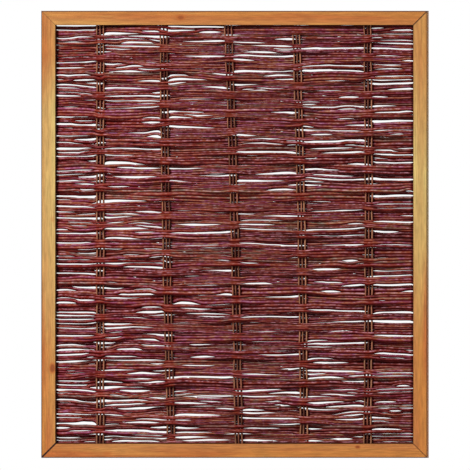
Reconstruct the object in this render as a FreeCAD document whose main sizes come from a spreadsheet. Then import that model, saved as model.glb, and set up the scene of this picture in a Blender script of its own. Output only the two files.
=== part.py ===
import FreeCAD, Part
import math
import os
import random
import Sketcher
from FreeCAD import Placement, Rotation, Vector

# Woven willow hurdle: a mitred timber frame whose inner grooves hold a panel of willow rods, woven in
# front of and behind groups of thin upright rods. Width runs along X, depth along Y with the front
# at -Y, and height along Z from the underside of the bottom rail.

SIZES = (
    # alias, millimetres or a plain count, what it measures
    ("panel_width", 1215, "outside of the frame, left to right"),
    ("panel_height", 1400, "outside of the frame, bottom to top"),
    ("rail_width", 45, "face of each frame member"),
    ("rail_depth", 45, "front to back of each frame member"),
    ("arris", 1.5, "chamfer on the long edges of the frame members"),
    ("groove_width", 15, "groove in the inner edges, front to back"),
    ("groove_depth", 15, "depth of that groove"),
    ("mitre_gap_top_left", 0.3, "opening of the corner joint"),
    ("mitre_gap_top_right", 0.4, "opening of the corner joint"),
    ("mitre_gap_bottom_left", 0.6, "opening of the corner joint"),
    ("mitre_gap_bottom_right", 0.4, "opening of the corner joint"),
    ("tongue_length", 24, "loose tongue in a corner, across the joint"),
    ("tongue_width", 18, "loose tongue in a corner, along the joint"),
    ("tongue_thickness", 6, "loose tongue in a corner, front to back"),
    ("tongue_setback", 27, "middle of a tongue from the outer corner, along the joint"),
    ("tongue_clearance", 0.15, "between a tongue and its slots, all round"),
    ("upright_diameter", 6.5, "upright rod"),
    ("upright_pitch", 10.5, "between the rods of one group"),
    ("upright_rods", 3, "rods in one group"),
    ("upright_end_room", 1, "between the top of an upright and its groove"),
    ("upright_groups", 5, "groups of uprights, spread evenly between the end spans"),
    ("end_span", 142.5, "from the frame to the middle of the nearest group"),
    ("group_lean", 34, "lean of the middle group over the height of the uprights"),
    ("row_height", 29, "one woven row, before the rows are spread over the height"),
    ("row_rods", 3, "rods in one row"),
    ("rod_thickness", 9, "woven rod, front to back"),
    ("furrow_depth", 2.5, "furrow between the rods of a row"),
    ("weave_clearance", 0.3, "between the woven rods and what they pass or enter"),
    ("rod_end_room", 2, "between the end of a woven rod and the floor of its groove"),
    ("slit_length", 132, "longest see-through slit between two rows"),
    ("slit_height", 5, "height of the widest slit at its middle"),
    ("slit_end_room", 14, "between a slit and the uprights or the frame"),
)

# Share of the meetings of two rows that are open slits, the most slits in the panel, and the crossings
# between groups at which any two rows stay joined
SLIT_SHARE = 0.38
MOST_SLITS = 120
KEPT_CROSSINGS = 2
# How unlike the slits are: shares of the longest, of the widest, and of the length where each is widest
SLIT_LENGTHS = (0.75, 1)
SLIT_HEIGHTS = (0.6, 1)
SLIT_PEAKS = (0.35, 0.65)
SLIT_SEED = 11

UPRIGHT_SIDES = 8
TOUCHING = 1e-4

doc = FreeCAD.newDocument("woven_willow_hurdle")
sheet = doc.addObject("Spreadsheet::Sheet", "Sizes")
for line, (alias, value, meaning) in enumerate(SIZES, start=1):
    sheet.set(f"A{line}", alias)
    sheet.set(f"B{line}", str(value))
    sheet.setAlias(f"B{line}", alias)
    sheet.set(f"C{line}", meaning)
doc.recompute()

LEFT = "-Sizes.panel_width / 2"
RIGHT = "Sizes.panel_width / 2"
TOP = "Sizes.panel_height"

pieces = []


def size(alias):
    """The value of one cell of the sheet."""
    return float(getattr(sheet, alias))


def worth(formula):
    """What a formula of the sheet comes to, as a plain number."""
    value = sheet.evalExpression(formula)
    return float(getattr(value, "Value", value))


def origin_feature(body, role):
    return next(feature for feature in body.Origin.OriginFeatures if feature.Role == role)


def outline(body, plane, name, corners):
    """A closed sketch of straight lines, each corner placed by two formulas of the sheet."""
    sketch = body.newObject("Sketcher::SketchObject", name)
    sketch.AttachmentSupport = [(origin_feature(body, plane), "")]
    sketch.MapMode = "FlatFace"
    points = [Vector(worth(across), worth(up), 0) for across, up in corners]
    for index, point in enumerate(points):
        sketch.addGeometry(Part.LineSegment(point, points[(index + 1) % len(points)]), False)
    for index, (across, up) in enumerate(corners):
        before = index - 1 if index else len(corners) - 1
        sketch.addConstraint(Sketcher.Constraint("Coincident", before, 2, index, 1))
        for kind, formula in (("DistanceX", across), ("DistanceY", up)):
            place = sketch.addConstraint(Sketcher.Constraint(kind, -1, 1, index, 1, worth(formula)))
            sketch.setExpression(f"Constraints[{place}]", formula)
    return sketch


def frame_member(name, face, groove_plane, groove):
    """One mitred member: its face outline padded to depth, grooved inside, with chamfered arrises."""
    body = doc.addObject("PartDesign::Body", f"{name}_blank")
    pad = body.newObject("PartDesign::Pad", f"{name}_bar")
    pad.Profile = outline(body, "XZ_Plane", f"{name}_face", face)
    pad.setExpression("Length", "Sizes.rail_depth")
    pad.SideType = "Symmetric"
    doc.recompute()
    pocket = body.newObject("PartDesign::Pocket", f"{name}_groove")
    pocket.Profile = outline(body, groove_plane, f"{name}_groove_section", groove)
    pocket.Type = "ThroughAll"
    pocket.SideType = "Symmetric"
    doc.recompute()
    if pocket.Shape.Volume >= pad.Shape.Volume:
        raise RuntimeError(f"the groove of {name} cuts nothing")
    arrises = body.newObject("PartDesign::Chamfer", f"{name}_arrises")
    arrises.Base = (pocket, long_outer_edges(pocket.Shape))
    arrises.setExpression("Size", "Sizes.arris")
    doc.recompute()
    return body


def long_outer_edges(shape):
    """The names of the edges that run along a member at its front and back faces."""
    box = shape.BoundBox
    along = Vector(1, 0, 0) if box.XLength > box.ZLength else Vector(0, 0, 1)
    face = size("rail_depth") / 2
    names = []
    for number, edge in enumerate(shape.Edges, start=1):
        start, end = (vertex.Point for vertex in edge.Vertexes)
        runs_along = (end - start).cross(along).Length < TOUCHING
        at_a_face = all(abs(abs(point.y) - face) < TOUCHING for point in (start, end))
        if runs_along and at_a_face:
            names.append(f"Edge{number}")
    return names


def mitre_shift(corner):
    """How far half of a corner's opening moves the end of a member along its length."""
    return f"Sizes.mitre_gap_{corner} / sqrt(2)"


def rail(name, outer, inner, groove_floor, left_corner, right_corner):
    """A level member between the heights outer and inner."""
    left, right = mitre_shift(left_corner), mitre_shift(right_corner)
    face = (
        (f"{LEFT} + {left}", outer),
        (f"{RIGHT} - {right}", outer),
        (f"{RIGHT} - Sizes.rail_width - {right}", inner),
        (f"{LEFT} + Sizes.rail_width + {left}", inner),
    )
    groove = (
        ("-Sizes.groove_width / 2", groove_floor),
        ("Sizes.groove_width / 2", groove_floor),
        ("Sizes.groove_width / 2", inner),
        ("-Sizes.groove_width / 2", inner),
    )
    return frame_member(name, face, "YZ_Plane", groove)


def stile(name, outer, inner, groove_floor, bottom_corner, top_corner):
    """An upright member between the places outer and inner across the panel."""
    bottom, top = mitre_shift(bottom_corner), mitre_shift(top_corner)
    face = (
        (outer, bottom),
        (outer, f"{TOP} - {top}"),
        (inner, f"{TOP} - Sizes.rail_width - {top}"),
        (inner, f"Sizes.rail_width + {bottom}"),
    )
    groove = (
        (groove_floor, "-Sizes.groove_width / 2"),
        (groove_floor, "Sizes.groove_width / 2"),
        (inner, "Sizes.groove_width / 2"),
        (inner, "-Sizes.groove_width / 2"),
    )
    return frame_member(name, face, "XY_Plane", groove)


def corner_keys(name, room):
    """A flat key across each mitre, larger all round by room, lying in the middle of the depth."""
    keys = []
    to_middle = size("tongue_setback") / math.sqrt(2)
    for corner, across, up, turn in (
        ("bottom_left", -1, 0, -45),
        ("bottom_right", 1, 0, 45),
        ("top_left", -1, 1, 45),
        ("top_right", 1, 1, -45),
    ):
        key = doc.addObject("Part::Box", f"{name}_{corner}")
        key.setExpression("Length", f"Sizes.tongue_width + 2 * {room}")
        key.setExpression("Width", f"Sizes.tongue_thickness + 2 * {room}")
        key.setExpression("Height", f"Sizes.tongue_length + 2 * {room}")
        doc.recompute()
        middle = Vector(across * (size("panel_width") / 2 - to_middle), 0,
                        size("panel_height") - to_middle if up else to_middle)
        half = Vector(key.Length.Value / 2, key.Width.Value / 2, key.Height.Value / 2)
        tilt = Rotation(Vector(0, 1, 0), turn)
        key.Placement = Placement(middle - tilt.multVec(half), tilt)
        keys.append(key)
    return keys


def frame():
    """The four frame members, slotted at the corners, and the loose tongues in their slots."""
    pieces.extend(corner_keys("mitre_tongue", "0"))
    slots = doc.addObject("Part::Compound", "mitre_slots")
    slots.Links = corner_keys("mitre_slot", "Sizes.tongue_clearance")
    inner = "Sizes.rail_width"
    floor = "(Sizes.rail_width - Sizes.groove_depth)"
    blanks = {
        "bottom_rail": rail("bottom_rail", "0", inner, floor, "bottom_left", "bottom_right"),
        "top_rail": rail("top_rail", TOP, f"{TOP} - {inner}", f"{TOP} - {floor}", "top_left", "top_right"),
        "left_stile": stile("left_stile", LEFT, f"{LEFT} + {inner}", f"{LEFT} + {floor}",
                            "bottom_left", "top_left"),
        "right_stile": stile("right_stile", RIGHT, f"{RIGHT} - {inner}", f"{RIGHT} - {floor}",
                             "bottom_right", "top_right"),
    }
    for name, blank in blanks.items():
        slotted = doc.addObject("Part::Cut", name)
        slotted.Base = blank
        slotted.Tool = slots
        pieces.append(slotted)


class Groups:
    """Where the groups of uprights stand: their feet, their heads and their lean in between."""

    def __init__(self):
        self.count = int(size("upright_groups"))
        self.outermost = size("panel_width") / 2 - size("rail_width") - size("end_span")
        self.pitch = 2 * self.outermost / (self.count - 1)
        self.foot = size("rail_width") - size("groove_depth")
        self.head = size("panel_height") - self.foot - size("upright_end_room")
        self.reach = (size("upright_rods") - 1) / 2 * size("upright_pitch") + size("upright_diameter") / 2

    def middle(self, number):
        """The middle of a group across the panel, at half its height."""
        return number * self.pitch - self.outermost

    def share(self, number):
        """How much of the full lean a group has: all in the middle of the panel, none outermost."""
        return 1 - (self.middle(number) / self.outermost) ** 2

    def place(self, number, height):
        """The middle of a group across the panel, at a height. It leans to the left as it rises."""
        rise = (height - self.foot) / (self.head - self.foot)
        return self.middle(number) + size("group_lean") * self.share(number) * (0.5 - rise)

    def closest(self):
        """The least distance between two neighbouring groups."""
        return min(self.place(number + 1, height) - self.place(number, height)
                   for number in range(self.count - 1) for height in (self.foot, self.head))


def uprights(groups):
    """The upright rods, eight-sided and straight, standing on the floor of the bottom rail's groove."""
    count = int(size("upright_rods"))
    rise = "(Sizes.panel_height - 2 * (Sizes.rail_width - Sizes.groove_depth) - Sizes.upright_end_room)"
    for number in range(groups.count):
        foot = groups.place(number, groups.foot)
        for rod in range(count):
            offset = (rod - (count - 1) / 2) * size("upright_pitch")
            upright = doc.addObject("Part::Prism", f"upright_{number + 1}_{rod + 1}")
            upright.Polygon = UPRIGHT_SIDES
            upright.setExpression("Circumradius", "Sizes.upright_diameter / 2")
            upright.setExpression("Height", rise)
            upright.setExpression("FirstAngle", f"-atan(Sizes.group_lean * {groups.share(number)} / {rise})")
            upright.Placement = Placement(Vector(foot + offset, 0, groups.foot), Rotation())
            pieces.append(upright)


class Weave:
    """The woven panel: rows of rods that swing in front of and behind the groups in turn."""

    def __init__(self, groups):
        self.groups = groups
        self.mouth = size("panel_width") / 2 - size("rail_width")
        self.end = self.mouth + size("groove_depth") - size("rod_end_room")
        self.floor = size("rail_width")
        ceiling = size("panel_height") - size("rail_width") - size("weave_clearance")
        self.rows = max(2, round((ceiling - self.floor) / size("row_height")))
        self.pitch = (ceiling - self.floor) / self.rows
        self.half = size("rod_thickness") / 2
        past_uprights = self.half + size("upright_diameter") / 2 + size("weave_clearance")
        self.swing = past_uprights / (1 - 2 * groups.reach / groups.closest())

    def section(self):
        """The outline of one row, seen along it: a ridge for each rod on the front and the back."""
        furrow = self.half - size("furrow_depth")
        steps = 2 * int(size("row_rods"))
        front = [(-(self.half if step % 2 else furrow), self.pitch * step / steps)
                 for step in range(steps + 1)]
        return front + [(-across, up) for across, up in reversed(front)]

    def path(self, row):
        """The line of one row from groove to groove, through its swing at each group."""
        base = self.floor + row * self.pitch
        from_top = self.rows - 1 - row
        bends = [(self.groups.place(number, base + self.pitch / 2),
                  self.swing * (-1) ** (from_top + number)) for number in range(self.groups.count)]
        line = [self.groove_end(bends[0], -1)] + bends + [self.groove_end(bends[-1], 1)]
        return [Vector(across, depth, base) for across, depth in line]

    def groove_end(self, bend, side):
        """The end of a row, on the straight line from its last bend past the lip of the groove."""
        across, depth = bend
        at_lip = size("groove_width") / 2 - size("weave_clearance") - self.half
        slope = (abs(depth) - at_lip) / (self.mouth - abs(across))
        return side * self.end, math.copysign(1, depth) * (at_lip - slope * (self.end - self.mouth))

    def row_solid(self, row):
        """One row: its section carried along its path without turning, so that every face is flat."""
        section = [Vector(0, across, up) for across, up in self.section()]
        path = self.path(row)
        rings = [[station + corner for corner in section] for station in path]
        faces = [flat_face(rings[0]), flat_face(rings[-1])]
        for here, there in zip(rings, rings[1:]):
            for index in range(len(section)):
                after = (index + 1) % len(section)
                faces.append(flat_face([here[index], here[after], there[after], there[index]]))
        return Part.makeSolid(Part.makeShell(faces))

    def slits(self):
        """Slender openings under chosen rows: for each upper row, the tools that cut them."""
        draw = random.Random(SLIT_SEED)
        meetings = [(upper, span) for upper in range(1, self.rows)
                    for span in range(self.groups.count + 1)]
        draw.shuffle(meetings)
        wanted = min(MOST_SLITS, int(SLIT_SHARE * len(meetings)))
        spare = {upper: self.groups.count - 1 - KEPT_CROSSINGS for upper in range(1, self.rows)}
        chosen = {}
        for upper, span in meetings:
            is_crossing = 0 < span < self.groups.count
            if wanted and (spare[upper] > 0 or not is_crossing):
                chosen.setdefault(upper, []).append(self.slit(upper, span, draw))
                spare[upper] -= is_crossing
                wanted -= 1
        return chosen

    def slit(self, upper, span, draw):
        """A prism through the panel, with a slender three-sided outline on the line between two rows."""
        height = self.floor + upper * self.pitch
        last = self.groups.count
        room = size("slit_end_room")
        left = -self.mouth if span == 0 else self.groups.place(span - 1, height) + self.groups.reach
        right = self.mouth if span == last else self.groups.place(span, height) - self.groups.reach
        length = min(size("slit_length"), right - left - 2 * room) * draw.uniform(*SLIT_LENGTHS)
        start = (left + right - length) / 2
        widest = start + length * draw.uniform(*SLIT_PEAKS)
        rise = size("slit_height") * draw.uniform(*SLIT_HEIGHTS)
        through = self.swing + size("rod_thickness")
        corners = [Vector(start, -through, height), Vector(widest, -through, height + rise),
                   Vector(start + length, -through, height)]
        return flat_face(corners).extrude(Vector(0, 2 * through, 0))

    def solid(self):
        """All rows with their slits cut, joined where they cross between the groups."""
        slits = self.slits()
        rows = []
        for row in range(self.rows):
            openings = slits.get(row)
            rods = self.row_solid(row)
            rows.append(rods.cut(openings) if openings else rods)
        return rows[0].multiFuse(rows[1:])


def flat_face(corners):
    return Part.Face(Part.makePolygon(corners + corners[:1]))


def willow_weave(groups):
    """The woven panel as one wall of ridges and slits."""
    wall = Weave(groups).solid()
    if len(wall.Solids) != 1:
        raise RuntimeError(f"the weave is {len(wall.Solids)} solids, not one wall")
    weave = doc.addObject("Part::Feature", "willow_weave")
    weave.Shape = wall.Solids[0]
    pieces.append(weave)


frame()
standing = Groups()
uprights(standing)
willow_weave(standing)
doc.recompute()

for item in doc.Objects:
    if "Invalid" in item.State or "Error" in item.State:
        raise RuntimeError(f"{item.Label} did not compute")
for piece in pieces:
    if piece.Shape.isNull() or not piece.Shape.isValid():
        raise RuntimeError(f"{piece.Label} has no valid shape")

os.makedirs("parts", exist_ok=True)
for piece in pieces:
    piece.Shape.exportStep(f"parts/{piece.Label}.step")
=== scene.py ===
"""Dresses a woven willow hurdle: its stained timber frame, its willow rods, and the stage it stands on."""

import functools
import math

import bpy
import numpy as np
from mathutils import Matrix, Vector


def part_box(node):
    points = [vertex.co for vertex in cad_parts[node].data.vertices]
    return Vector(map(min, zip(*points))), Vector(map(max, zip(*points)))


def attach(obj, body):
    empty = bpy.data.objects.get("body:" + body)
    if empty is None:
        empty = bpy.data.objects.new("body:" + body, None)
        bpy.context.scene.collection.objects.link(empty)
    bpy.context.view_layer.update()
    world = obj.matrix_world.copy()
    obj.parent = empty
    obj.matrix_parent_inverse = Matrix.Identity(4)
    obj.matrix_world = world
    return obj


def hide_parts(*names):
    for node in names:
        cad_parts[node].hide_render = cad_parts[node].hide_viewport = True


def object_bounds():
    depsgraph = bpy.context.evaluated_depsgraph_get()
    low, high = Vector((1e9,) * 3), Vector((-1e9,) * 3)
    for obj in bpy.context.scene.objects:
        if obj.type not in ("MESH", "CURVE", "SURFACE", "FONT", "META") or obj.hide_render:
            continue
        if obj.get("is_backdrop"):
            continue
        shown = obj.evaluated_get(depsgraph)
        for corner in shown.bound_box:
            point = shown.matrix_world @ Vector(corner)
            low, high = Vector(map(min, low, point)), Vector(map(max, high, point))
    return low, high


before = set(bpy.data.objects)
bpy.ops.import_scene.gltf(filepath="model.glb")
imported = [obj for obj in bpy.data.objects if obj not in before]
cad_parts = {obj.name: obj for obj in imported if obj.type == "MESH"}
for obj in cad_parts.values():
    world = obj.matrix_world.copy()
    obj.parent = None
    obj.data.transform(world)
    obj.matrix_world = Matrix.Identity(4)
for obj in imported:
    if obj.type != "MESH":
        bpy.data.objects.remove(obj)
CAD_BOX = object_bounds()

bl_info = {
    "name": "Woven Willow Hurdle",
    "version": (1, 0, 0),
    "blender": (4, 5, 0),
    "location": "View3D > Sidebar > Hurdle",
    "description": "Weaves the willow, finishes the timber and sets the stage of a framed hurdle",
    "category": "Object",
}

# Middle of the panel across rails, whose grain follows X, and across stiles, whose grain follows Z
CAD_MIDDLE = {"X": (CAD_BOX[0].z + CAD_BOX[1].z) / 2, "Z": (CAD_BOX[0].x + CAD_BOX[1].x) / 2}
BODY = "root"
WEAVE_NODE = "willow_weave"
MM = 0.001

# Names of the map laid out for baking a rod's bark, and of the attribute that its finish reads
BAKE_MAP = "OFBake"
TONE = "rod_tone"


def group_of(upright):
    """Number of the group that an upright belongs to."""
    return int(upright.split("_")[1])


def middle_upright(group):
    """Name of the middle rod of a group of uprights."""
    return f"upright_{group}_2"


# Solids of the frame: timbers by the axis that their grain follows, tongues in the corners, and upright rods
TIMBERS = {"X": ("bottom_rail", "top_rail"), "Z": ("left_stile", "right_stile")}
TONGUES = tuple(sorted(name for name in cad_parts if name.startswith("mitre_tongue")))
UPRIGHTS = tuple(sorted(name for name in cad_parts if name.startswith("upright")))
GROUPS = sorted({group_of(name) for name in UPRIGHTS})


def srgb(red, green, blue):
    """A colour given as 0 to 255 on a screen, as the linear colour that a shader takes."""
    def linear(value):
        value /= 255
        return value / 12.92 if value <= 0.04045 else ((value + 0.055) / 1.055) ** 2.4
    return linear(red), linear(green), linear(blue)


def colour(name, description, *screen):
    """A colour setting whose default is given as it looks on a screen."""
    return bpy.props.FloatVectorProperty(
        name=name, description=description, subtype="COLOR", size=3, min=0, max=1, default=srgb(*screen))


def length(name, description, millimetres):
    """A length setting whose default is given in millimetres."""
    return bpy.props.FloatProperty(
        name=name, description=description, unit="LENGTH", precision=4, default=millimetres * MM)


def share(name, description, default):
    """A setting from nought to one."""
    return bpy.props.FloatProperty(name=name, description=description, min=0, max=1, default=default)


def count(name, description, default):
    """A whole number of things."""
    return bpy.props.IntProperty(name=name, description=description, min=1, default=default)


def strength(name, description, default):
    """A plain number, such as the power of a light."""
    return bpy.props.FloatProperty(name=name, description=description, default=default)


def angle(name, description, degrees):
    """An angle setting whose default is given in degrees."""
    return bpy.props.FloatProperty(
        name=name, description=description, subtype="ANGLE", default=math.radians(degrees))


def group_lengths(name, description, *millimetres):
    """A length setting for each group of uprights, whose defaults are given in millimetres."""
    return bpy.props.FloatVectorProperty(
        name=name, description=description, unit="LENGTH", precision=4, size=len(millimetres),
        default=[value * MM for value in millimetres])


class HurdleWeaveSettings(bpy.types.PropertyGroup):
    """Sizes of the woven rods."""

    rows: count("Rows", "Rows of weave from the bottom rail to the top rail", 45)
    rods: count("Rods", "Rods that lie together in a row", 3)
    seed: count("Seed", "Start of the random draws", 70)
    sides: count("Sides", "Sides of a rod's section", 10)
    places: count("Places", "Places along a rod that runs the whole width", 97)
    butt: length("Butt", "Thickness of a rod at its butt end", 10.6)
    tip: length("Tip", "Thickness of a whole-width rod at its far end", 8.4)
    splice_tip: length("Splice tip", "Thickness of a spliced rod at its tip", 2.6)
    slit_low: length("Low slit", "Height of the narrowest see-through slits", 1.9)
    slit_high: length("High slit", "Height of the widest see-through slits", 5.6)
    wander: length("Wander", "Rise and fall of the rows", 1.5)
    kink: length("Kink", "Small bends of a single rod", 0.25)
    four_rods: share("Four rods", "Share of the rows that have one rod more", 0.6)
    splices: share("Splices", "Share of the places in a row that are filled by two spliced rods", 0.42)
    crossings: share("Crossings", "Share of the pairs of neighbours that change places along a row", 0.14)
    gather: share("Gather", "Share by which a row narrows in front of uprights, and widens behind them", 0.2)


class HurdleUprightSettings(bpy.types.PropertyGroup):
    """Shape of the upright rods."""

    sides: count("Sides", "Sides of a rod's section", 10)
    places: count("Places", "Places along a rod", 61)
    seed: count("Seed", "Start of the random draws", 3)
    taper: share("Taper", "Share of its thickness that a rod loses towards its head", 0.18)
    kink: length("Kink", "Small bends of a single rod", 0.7)
    outer_pale: strength("Outer paleness", "How pale the outer rods of a group are", 0.03)
    middle_pale: strength("Middle paleness", "How pale the middle rod of a group is", -0.14)
    shift: group_lengths("Shift", "Sideways shift of each group", -3.5, -2, -4.5, -5, -3.5)
    bow: group_lengths("Bow", "Sideways bow of each group at its middle", 0, -4, 4, 5, 5)


class HurdleColourSettings(bpy.types.PropertyGroup):
    """Colours of the willow and the timber."""

    bark_dark: colour("Dark bark", "Oldest and darkest rods", 88, 27, 22)
    bark_red: colour("Red bark", "Most of the rods", 132, 57, 54)
    bark_plum: colour("Plum bark", "Rods with a plum tint", 132, 60, 90)
    bark_orange: colour("Orange bark", "Young orange-brown rods", 150, 82, 54)
    bark_olive: colour("Olive bark", "Rods that have greyed", 118, 92, 78)
    # The front bark is painted light: a lit orange-red tint for rows where they pass in front of the uprights
    bark_front_lit: colour("Front bark", "Bark where a row passes in front of the uprights", 140, 55, 30)
    # Real waxy bloom, laid as a painted highlight on the lit crests of the rods
    bark_bloom_highlight: colour("Bloom", "Waxy bloom, painted as a highlight on the bark", 224, 162, 180)
    upright_brown: colour("Upright brown", "Shaded grain of the uprights", 78, 35, 20)
    upright_tan: colour("Upright tan", "Pale grain of the uprights", 186, 134, 98)
    upright_pink: colour("Upright pink", "Rosy bark of the uprights", 164, 94, 72)
    pine_orange: colour("Stained pine", "Main colour of the stained timber", 202, 130, 60)
    pine_red: colour("Red streak", "Reddish streaks of the stain", 190, 108, 52)
    pine_straw: colour("Straw streak", "Places where the stain is thin", 220, 196, 120)
    pine_dark: colour("Late wood", "Dark lines of the grain", 140, 76, 30)
    # Dark colour laid along the outer edges and on the arris faces
    pine_arris: colour("Arris", "Darkened arrises of the timber", 72, 36, 16)
    # End grain of the mitres, also laid on the faces towards the weave as painted shade, and along the mitre
    # lines
    pine_end_and_shade: colour("End grain", "Mitred ends of the timber", 52, 24, 12)
    knot: colour("Knot", "Heart of a knot", 128, 58, 24)
    knot_rim: colour("Knot rim", "Wood around a knot", 184, 98, 40)
    tongue: colour("Tongue", "Bare wood of the corner tongues", 205, 172, 122)


class HurdleStageSettings(bpy.types.PropertyGroup):
    """Camera, lights and floor."""

    view_width: length("View width", "Width of what the camera takes in", 1472)
    view_height: length("View height", "Height that the camera looks at", 698)
    distance: length("Distance", "Distance of the camera", 6000)
    yaw: angle("Yaw", "Angle by which the camera stands to the right", 5.5)
    key: strength("Key", "Power of the main light", 1150)
    key_bearing: angle("Key bearing", "Angle of the main light to the left of straight on", 28)
    key_rise: angle("Key rise", "Angle of the main light above the middle of the panel", 27)
    back: strength("Back", "Power of the light behind", 1000)
    back_bearing: angle("Back bearing", "Angle of the light behind to the left of straight on", 186)
    back_rise: angle("Back rise", "Angle of the light behind above the middle of the panel", 30)
    lamp_distance: length("Lamp distance", "Distance of the lights", 12000)
    lamp_size: length("Lamp size", "Width of the lights", 2000)
    fill: strength("Fill", "Strength of the light all around", 0.15)
    floor: length("Floor", "Width of the floor", 9000)


# Sockets of a Mix node that mixes colours
MIX_FACTOR, MIX_FIRST, MIX_SECOND, MIX_RESULT = 0, 6, 7, 2


class Finish:
    """A material made of nodes, with short ways to add them."""

    def __init__(self, name):
        self.material = bpy.data.materials.new(name)
        self.material.use_nodes = True
        self.tree = self.material.node_tree
        self.tree.nodes.clear()
        self.place = self.add("ShaderNodeTexCoord").outputs["Object"]

    def add(self, kind, inputs=None, **settings):
        """A node with its settings, and its inputs set to values or linked to outputs."""
        node = self.tree.nodes.new(kind)
        for key, value in settings.items():
            setattr(node, key, value)
        for key, value in (inputs or {}).items():
            socket = node.inputs[key]
            if isinstance(value, bpy.types.NodeSocket):
                self.tree.links.new(value, socket)
            else:
                socket.default_value = (*value, 1) if socket.type == "RGBA" else value
        return node

    def maths(self, operation, first, second=0.0, third=0.0):
        """A sum, product or the like of two or three values."""
        return self.add("ShaderNodeMath", {0: first, 1: second, 2: third}, operation=operation).outputs[0]

    def product(self, first, *others):
        """Several values multiplied."""
        for other in others:
            first = self.maths("MULTIPLY", first, other)
        return first

    def apart(self, vector):
        """The three parts of a vector."""
        return self.add("ShaderNodeSeparateXYZ", {0: vector}).outputs

    def together(self, first, second, third):
        """A vector of three values."""
        return self.add("ShaderNodeCombineXYZ", {0: first, 1: second, 2: third}).outputs[0]

    def facing(self):
        """The three parts of the way that the surface faces."""
        return self.apart(self.add("ShaderNodeNewGeometry").outputs["Normal"])

    def noise(self, scale, detail=2.0, roughness=0.5):
        """Soft noise from nought to one, as fine along each axis as its scale there."""
        stretched = self.add("ShaderNodeMapping", {"Vector": self.place, "Scale": scale}).outputs[0]
        inputs = {"Vector": stretched, "Scale": 1.0, "Detail": detail, "Roughness": roughness}
        return self.add("ShaderNodeTexNoise", inputs).outputs["Fac"]

    def graded(self, value, low, high, start=0.0, end=1.0):
        """A value carried smoothly from one range to another, and held at its ends."""
        inputs = {"Value": value, "From Min": low, "From Max": high, "To Min": start, "To Max": end}
        return self.add("ShaderNodeMapRange", inputs, interpolation_type="SMOOTHSTEP").outputs["Result"]

    def within(self, value, start, full, ending, end):
        """One between two places along a value, and nought outside them."""
        return self.maths("MULTIPLY", self.graded(value, start, full), self.graded(value, end, ending))

    def shaded(self, base, shade, warmth=0.0):
        """A colour made lighter or darker by a factor, with darks that turn red by some warmth."""
        red = self.maths("POWER", shade, 1 - warmth)
        rest = self.maths("POWER", shade, 1 + warmth)
        return self.mixed(1.0, base, self.together(red, rest, rest), blend="MULTIPLY")

    def mixed(self, factor, first, second, blend="MIX"):
        """One colour laid over another by a factor."""
        inputs = {MIX_FACTOR: factor, MIX_FIRST: first, MIX_SECOND: second}
        return self.add("ShaderNodeMix", inputs, data_type="RGBA", blend_type=blend).outputs[MIX_RESULT]

    def layered(self, base, *layers):
        """A colour with others laid over it, each layer a factor and a colour."""
        for factor, layer in layers:
            base = self.mixed(factor, base, layer)
        return base

    def ramp(self, value, *stops):
        """Colours along a value, each stop a place and a colour."""
        node = self.add("ShaderNodeValToRGB", {0: value})
        while len(node.color_ramp.elements) < len(stops):
            node.color_ramp.elements.new(0.5)
        for element, (place, shade) in zip(node.color_ramp.elements, stops):
            element.position = place
            element.color = (*shade, 1)
        return node.outputs[0]

    def surface(self, base, roughness, height, depth, specular=0.5):
        """The finished surface, with its relief."""
        relief = self.add("ShaderNodeBump", {"Height": height, "Distance": depth, "Strength": 1.0})
        inputs = {
            "Base Color": base, "Roughness": roughness, "Normal": relief.outputs[0],
            "Specular IOR Level": specular}
        shader = self.add("ShaderNodeBsdfPrincipled", inputs)
        self.add("ShaderNodeOutputMaterial", {"Surface": shader.outputs[0]})
        return self.material


# Kinds of bark from nought to one, each with the setting of its colour, and how far patches stray from them
BARK_KINDS = (
    (0.0, "bark_dark"), (0.2, "bark_red"), (0.36, "bark_orange"), (0.5, "bark_red"), (0.64, "bark_plum"),
    (0.8, "bark_orange"), (1.0, "bark_olive"))
KIND_STRAY = 0.6
# How the bark is painted lighter and more plum on the left, where the light comes from, as factors on its red,
# green and blue from left to right
PAINTED_LEFT_LIGHT = (
    (0.0, (1.13, 1.02, 1.16)), (0.25, (1.05, 0.98, 1.03)), (0.6, (0.93, 0.95, 0.92)), (1.0, (0.97, 0.99, 0.93)))
# How finely the bark is streaked, patched and mottled along each axis
BARK_STREAKS = (34, 520, 520)
BARK_PATCHES = (24, 90, 90)
BARK_MOTTLE = (75, 150, 150)
# Where uprights shade the rods behind them: beside the middle of their group, how far behind, and how much
UPRIGHT_SHADOW = (-10 * MM, -6 * MM, 17 * MM, 21 * MM)
BEHIND = (1 * MM, 4 * MM)
SHADOW_DEPTH = 0.82
# Where rods are painted with the lit front bark, as painted light on rows in front of the uprights: beside the
# middle of a group, how far in front, and how much
FRONT_WIDTH = (-21 * MM, -9 * MM, 9 * MM, 21 * MM)
IN_FRONT = (-3 * MM, -8 * MM)
FRONT_LIT_SHOWS = 0.8
# How much less light a rod has beside a slit
BESIDE_SLIT = 0.4
# Light on the bark by its streaks, as a factor and a least light
STREAK_LIGHT = (1.2, 0.4)
# Light by a rod's tone and its mottle, and on faces that turn down or up: two values each, and their lights
TONE_LIGHT = (-BESIDE_SLIT, 1.0, 0.4, 1.46)
MOTTLE_LIGHT = (0.3, 0.7, 0.7, 1.32)
DOWN_LIGHT = (-0.5, 0.2, 0.1, 1.0)
UP_LIGHT = (0.96, 0.54, 0.22, 1.0)
# Light near the frame: two distances from it and their lights
BY_STILE = (12 * MM, 5 * MM, 1.0, 0.1)
BY_TOP_RAIL = (9 * MM, 4 * MM, 1.0, 0.12)
BY_BOTTOM_RAIL = (5 * MM, 2 * MM, 1.0, 0.2)
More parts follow.
